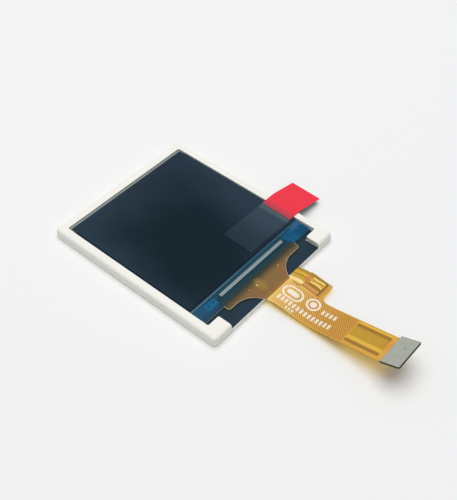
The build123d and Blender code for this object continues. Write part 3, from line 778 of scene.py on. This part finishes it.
class Rule(Tree):
    """A geometry tree with named inputs, run once into one plain piece."""

    def __init__(self, name):
        self.name = name
        self.group = bpy.data.node_groups.new(name, "GeometryNodeTree")
        super().__init__(self.group)
        self.entry = self.nodes.new("NodeGroupInput")
        self.values = {}

    def input(self, name, kind, value):
        """A named input of the tree, with the value that it gets in this piece."""
        socket = self.group.interface.new_socket(name, in_out="INPUT", socket_type="NodeSocket" + kind)
        self.values[socket.identifier] = value
        return Wire(self, self.entry.outputs[name])

    def size(self, name, millimetres):
        return self.input(name, "Float", millimetres * MM)

    def vector(self, x, y, z):
        return self.node("ShaderNodeCombineXYZ", inputs={0: x, 1: y, 2: z})

    def solid(self, name, solid):
        """The mesh of a solid, as a named input of the tree."""
        inputs = {"Object": self.input(name, "Object", solid)}
        return self.node("GeometryNodeObjectInfo", {"transform_space": "RELATIVE"}, inputs, output="Geometry")

    def drape(self, mesh, solid):
        """Lowers a flat mesh onto a solid, from well above it, and drops the parts that miss it."""
        carrier = self.solid("Carrier", solid)
        above = 10 * MM
        x, y, _ = self.split(self.node("GeometryNodeInputPosition"))
        ray = {"Target Geometry": carrier, "Source Position": self.vector(x, y, above)}
        ray.update({"Ray Direction": (0, 0, -1), "Ray Length": 2 * above})
        hit = self.node("GeometryNodeRaycast", inputs=ray, output="Is Hit")
        height = self.split(hit.twin("Hit Position"))[2]
        miss = self.node("FunctionNodeBooleanMath", {"operation": "NOT"}, {0: hit})
        missed = {"Geometry": mesh, "Selection": miss}
        kept = self.node("GeometryNodeDeleteGeometry", {"domain": "POINT"}, missed)
        lowered = {"Geometry": kept, "Position": self.vector(x, y, height)}
        return self.node("GeometryNodeSetPosition", inputs=lowered)

    def thicken(self, sheet, thickness):
        """Makes a closed slab from a sheet that faces up."""
        raised = self.node("GeometryNodeExtrudeMesh", inputs={"Mesh": sheet, "Offset Scale": thickness})
        raised.socket.node.inputs["Individual"].default_value = False
        under = self.node("GeometryNodeFlipFaces", inputs={"Mesh": sheet})
        slab = self.node("GeometryNodeJoinGeometry", inputs={"Geometry": under})
        self.links.new(raised.socket, slab.socket.node.inputs["Geometry"])
        return self.node("GeometryNodeMergeByDistance", inputs={"Geometry": slab, "Distance": WELD})

    def make(self, geometry, paint):
        """Runs the tree and leaves a plain piece that rides on the module."""
        finish_input = self.input("Finish", "Material", paint.material)
        real = self.node("GeometryNodeRealizeInstances", inputs={"Geometry": geometry})
        done = self.node("GeometryNodeSetMaterial", inputs={"Geometry": real, "Material": finish_input})
        self.group.interface.new_socket("Geometry", in_out="OUTPUT", socket_type="NodeSocketGeometry")
        self.links.new(done.socket, self.nodes.new("NodeGroupOutput").inputs["Geometry"])
        piece = bpy.data.objects.new(self.name, bpy.data.meshes.new(self.name))
        bpy.context.scene.collection.objects.link(piece)
        modifier = piece.modifiers.new(self.name, "NODES")
        modifier.node_group = self.group
        for identifier, value in self.values.items():
            modifier[identifier] = value
        shaped = piece.evaluated_get(bpy.context.evaluated_depsgraph_get())
        piece.data = bpy.data.meshes.new_from_object(shaped)
        piece.modifiers.remove(modifier)
        piece.data.name = self.name
        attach(piece, "root")
        print(self.name, "has", len(piece.data.polygons), "faces")
        return piece


# %% [markdown]
# Leads run side by side between two rows, and fan out where the rows differ in width. The tree starts from
# one flat grid with two columns of points for each lead. It works out from a point's number which lead and
# which step along it the point belongs to, moves it there, and deletes every second column of faces, the
# gaps.

# %% Fan of leads
def leads(name, carrier, paint, count, low_row, high_row, width, ease=0.0, steps=24, thickness=0.01):
    """Leads between two rows; a row is (middle x, y, half of its width) in mm, the lower y first."""
    rule = Rule(name)
    number = rule.input("Count", "Int", count)
    stations = rule.input("Steps", "Int", steps)
    low = [rule.size("Low " + part, value) for part, value in zip(("middle", "y", "reach"), low_row)]
    high = [rule.size("High " + part, value) for part, value in zip(("middle", "y", "reach"), high_row)]
    lead_width = rule.size("Lead width", width)
    bend = rule.input("Ease", "Float", ease)
    depth = rule.size("Thickness", thickness)

    grid = rule.node("GeometryNodeMeshGrid", inputs={"Vertices X": number * 2, "Vertices Y": stations})
    point = rule.node("GeometryNodeInputIndex")
    step = point % stations
    column = (point - step) / stations
    side = column % 2
    lead = (column - side) / 2
    spot = lead / (number - 1) * 2 - 1
    way = step / (stations - 1)
    eased = way + (way * way * (3 - way * 2) - way) * bend
    middle, y, reach = (a + (b - a) * share for a, b, share in zip(low, high, (eased, way, eased)))
    x = middle + spot * reach + (side - 0.5) * lead_width
    flat = rule.node("GeometryNodeSetPosition", inputs={"Geometry": grid, "Position": rule.vector(x, y, 0)})
    face = rule.node("GeometryNodeInputIndex")
    face_column = (face / (stations - 1)).whole()
    gap = (face_column % 2).more_than(0.5)
    strips = rule.node("GeometryNodeDeleteGeometry", {"domain": "FACE"}, {"Geometry": flat, "Selection": gap})
    return rule.make(rule.thicken(rule.drape(strips, carrier), depth), paint)


# %% [markdown]
# The leads over the flare take the flare's own colour with a share of copper in it, as they look through the
# film. The others are plain strips in one colour. Noise varies each a little, so that the rows don't look
# ruled.

# %% Finish of the leads
def lead_finish(name, bright, deep, metallic=0.3):
    paint = Paint(name)
    paint.set(Base_Color=paint.mix(paint.noise(2), bright, deep), Metallic=metallic)
    paint.set(Roughness=0.35 + paint.noise(4) * 0.1, Specular_IOR_Level=0.12)
    return paint


def flare_lead():
    paint = Paint("flare_lead")
    share = 0.2 + paint.noise(1.5, detail=3, stretch=(3, 0.6, 1)) * 0.5
    share = share * paint.after(paint.y * -1, 13.0, 1.2)
    paint.set(Base_Color=paint.mix(share, flare_cast(paint), linear(186, 136, 84)))
    paint.set(Roughness=0.35 + paint.noise(4) * 0.1, Specular_IOR_Level=0.12)
    return paint


window_paint = lead_finish("window_lead", linear(168, 126, 34), linear(152, 110, 30), metallic=0)
supply_paint = lead_finish("supply_lead", linear(172, 126, 54), linear(158, 110, 44), metallic=0)
glass_paint = lead_finish("glass_lead", linear(30, 80, 96), linear(16, 62, 78))
base, cover, ledge = solids["flex_base"], solids["flex_cover"], solids["ledge_sealant"]

leads("flare_leads", base, flare_lead(), 44, (-0.25, -16.25, 2.2), (0, -11.95, 7.9), width=0.05, ease=1.0)
leads("window_leads", cover, window_paint, 8, (0.14, -34.0, 0.84), (0.14, -28.7, 0.84), width=0.1)
leads("supply_leads", cover, supply_paint, 2, (-0.22, -34.0, 1.6), (-0.22, -28.7, 1.6), width=0.56)
leads("chip_leads", ledge, glass_paint, 64, (0, -11.88, 7.9), (0, -11.42, 6.95), width=0.05, steps=6)
leads("panel_leads", ledge, glass_paint, 90, (0, -10.83, 6.95), (0, -10.26, 11.2), width=0.04, steps=6)

# %% [markdown]
# The two tails lie side by side with a slit of a fifth of a millimetre between them. The same draping
# closes it: the strip is lowered onto the small tail and then moved sideways, out over the slit.

# %% Film over the slit
def slit_film(name, carrier, paint, x_low, x_high, y_low, y_high, sideways, thickness=0.02):
    """A narrow strip lowered onto a solid, inside a rectangle in mm, and then moved along x."""
    rule = Rule(name)
    size_x = rule.size("Width", x_high - x_low)
    size_y = rule.size("Length", y_high - y_low)
    middle_x = rule.size("Middle x", (x_low + x_high) / 2)
    middle_y = rule.size("Middle y", (y_low + y_high) / 2)
    move = rule.size("Sideways", sideways)
    depth = rule.size("Thickness", thickness)
    sizes = {"Size X": size_x, "Size Y": size_y, "Vertices X": 2, "Vertices Y": 20}
    grid = rule.node("GeometryNodeMeshGrid", inputs=sizes)
    there = {"Geometry": grid, "Translation": rule.vector(middle_x, middle_y, 0)}
    draped = rule.drape(rule.node("GeometryNodeTransform", inputs=there), carrier)
    aside = {"Geometry": draped, "Translation": rule.vector(move, 0, 0)}
    return rule.make(rule.thicken(rule.node("GeometryNodeTransform", inputs=aside), depth), paint)


slit_paint = lead_finish("slit_amber", linear(236, 186, 98), linear(222, 170, 84), metallic=0)
slit_film("tail_slit_film", solids["led_flex"], slit_paint, 2.5, 2.82, -18.2, -16.1, -0.35)

# %% [markdown]
# The cut edge of a film catches the light and draws a thin pale line round the flare. That line can be
# found by a rule too: it is every edge of the mesh where a face that looks up meets one that looks
# sideways. Near the centre line only the ends of the film have such edges, so those are left out. The tree
# turns the rest into curves and gives them a small round section.

# %% Pale edge of the film
def film_edge(name, solid, paint, y_low, y_high, radius, left_out=2.0):
    """A thin round bead on the upper rim of a film, between two places along y and clear of x = 0, in mm."""
    rule = Rule(name)
    film = rule.solid("Film", solid)
    low = rule.size("Low end", y_low)
    high = rule.size("High end", y_high)
    bead = rule.size("Bead radius", radius)
    middle = rule.size("Left out beside the middle", left_out)
    joined = rule.node("GeometryNodeMergeByDistance", inputs={"Geometry": film, "Distance": WELD})
    face_up = rule.split(rule.node("GeometryNodeInputNormal"))[2]
    stored = {"Geometry": joined, "Name": "up", "Value": face_up}
    marked = rule.node("GeometryNodeStoreNamedAttribute", {"domain": "FACE", "data_type": "FLOAT"}, stored)
    half_up = rule.node("GeometryNodeInputNamedAttribute", {"data_type": "FLOAT"}, {"Name": "up"})
    x, y, _ = rule.split(rule.node("GeometryNodeInputPosition"))
    steep = abs(half_up - 0.5).less_than(0.2)
    between = (low - y).less_than(0) * (y - high).less_than(0)
    chosen = steep * between * (middle - abs(x)).less_than(0)
    line = rule.node("GeometryNodeMeshToCurve", inputs={"Mesh": marked, "Selection": chosen})
    section = rule.node("GeometryNodeCurvePrimitiveCircle", inputs={"Resolution": 6, "Radius": bead})
    tube = {"Curve": line, "Profile Curve": section, "Fill Caps": True}
    return rule.make(rule.node("GeometryNodeCurveToMesh", inputs=tube), paint)


def pale_edge():
    paint = Paint("pale_edge")
    paint.set(Base_Color=paint.mix(paint.noise(0.8), linear(204, 198, 174), linear(160, 154, 130)))
    paint.set(Roughness=0.3 + paint.noise(3) * 0.1)
    return paint


film_edge("flare_edge", solids["flex_base"], pale_edge(), -16.1, -12.6, 0.045)

# %% [markdown]
# Where it has no leads, the tail is filled with a fine hatch of slanted copper lines, which shields the
# signals and still lets the film bend. One short bar is placed on every point of a grid, so that neighbours
# meet end to end.

# %% Copper hatch
def copper_hatch(name, carrier, paint, corner_low, corner_high, across, along, line_width, thickness):
    """Slanted lines over a rectangle given by two corners in mm."""
    rule = Rule(name)
    columns = rule.input("Bars across", "Int", across)
    rows = rule.input("Bars along", "Int", along)
    width = rule.size("Width", corner_high[0] - corner_low[0])
    length = rule.size("Length", corner_high[1] - corner_low[1])
    middle_x = rule.size("Middle x", (corner_low[0] + corner_high[0]) / 2)
    middle_y = rule.size("Middle y", (corner_low[1] + corner_high[1]) / 2)
    line = rule.size("Line width", line_width)
    depth = rule.size("Thickness", thickness)

    cell_x = width / columns
    cell_y = length / rows
    reach = (cell_x * cell_x + cell_y * cell_y).root()
    lean = rule.vector(0, 0, cell_x.maths("ARCTAN2", cell_x, cell_y) * -1)
    bar_sizes = {"Size X": line, "Size Y": reach, "Vertices X": 2, "Vertices Y": 3}
    bar = rule.node("GeometryNodeMeshGrid", inputs=bar_sizes)
    sizes = {"Size X": width - cell_x, "Size Y": length - cell_y, "Vertices X": columns, "Vertices Y": rows}
    spots = rule.node("GeometryNodeMeshGrid", inputs=sizes)
    placing = {"Points": spots, "Instance": bar, "Rotation": lean}
    placed = rule.node("GeometryNodeInstanceOnPoints", inputs=placing)
    real = rule.node("GeometryNodeRealizeInstances", inputs={"Geometry": placed})
    shift = {"Geometry": real, "Translation": rule.vector(middle_x, middle_y, 0)}
    moved = rule.node("GeometryNodeTransform", inputs=shift)
    return rule.make(rule.thicken(rule.drape(moved, carrier), depth), paint)


def hatch_copper():
    paint = Paint("hatch_copper")
    near_frame = paint.after(paint.y, -19, 8)
    copper = paint.mix(near_frame, linear(180, 124, 50), linear(240, 184, 98))
    copper = paint.mix(paint.noise(2) * 0.4, copper, linear(168, 112, 46))
    paint.set(Base_Color=paint.mix(white_ink(paint), copper, linear(255, 250, 240)))
    paint.set(Roughness=0.35 + paint.noise(4) * 0.1, Specular_IOR_Level=0.12)
    return paint


hatch_low, hatch_high = (-2.5, -28.5), (2.05, -16.5)
copper_hatch("copper_hatch", cover, hatch_copper(), hatch_low, hatch_high, 11, 29, 0.13, thickness=0.004)

# %% [markdown]
# ## Floor and light
#
# The photograph has a white table that fades into a white room, and light from everywhere with a little
# more from above, so the shadows are short and soft. The floor is a large plane with a pale grey-white
# finish. The room gives only a third of the light, but what looks straight at it, or at its reflection,
# sees it as white as the floor. One wide soft lamp over the module gives the shadows their direction.

# %% Floor
def floor_white():
    paint = Paint("floor_white")
    paint.set(Base_Color=paint.mix(paint.noise(0.01), linear(250, 250, 251), linear(248, 249, 250)))
    paint.set(Roughness=0.6, Specular_IOR_Level=0.2)
    return paint


floor_side = 1.2
floor_drop = -0.01 * MM
half = floor_side / 2
corners = [(-half, -half), (half, -half), (half, half), (-half, half)]
floor_mesh = bpy.data.meshes.new("floor")
floor_mesh.from_pydata([(x, y, floor_drop) for x, y in corners], [], [(0, 1, 2, 3)])
floor_mesh.materials.append(floor_white().material)
floor = bpy.data.objects.new("floor", floor_mesh)
bpy.context.scene.collection.objects.link(floor)

# %% White room
room_light = 0.33
room_seen = 0.92
world = bpy.data.worlds.new("white_room")
bpy.context.scene.world = world
world.use_nodes = True
room = Tree(world.node_tree)
looked_at = room.node("ShaderNodeLightPath", output="Is Camera Ray")
mirrored = looked_at.twin("Is Glossy Ray").highest(looked_at.twin("Is Transmission Ray"))
backdrop = room.nodes["Background"]
room.feed(backdrop.inputs["Color"], linear(250, 251, 252))
room.feed(backdrop.inputs["Strength"], room_light + looked_at.highest(mirrored) * (room_seen - room_light))
print("the room lights with", room_light, "and is seen as", room_seen)

# %% Soft lamp
lamp = bpy.data.objects.new("overhead_lamp", bpy.data.lights.new("overhead_lamp", "AREA"))
bpy.context.scene.collection.objects.link(lamp)
lamp.data.shape = "DISK"
lamp.data.size = 0.8
lamp.data.energy = 4.1
lamp.data.color = (1.0, 0.99, 0.97)
lamp.location = (0.06, 0.08, 0.7)
lamp.rotation_euler = (-lamp.location).to_track_quat("-Z", "Y").to_euler()
print("lamp of", lamp.data.size, "m,", round(lamp.location.length, 2), "m away")

bpy.context.scene.view_settings.view_transform = "Standard"
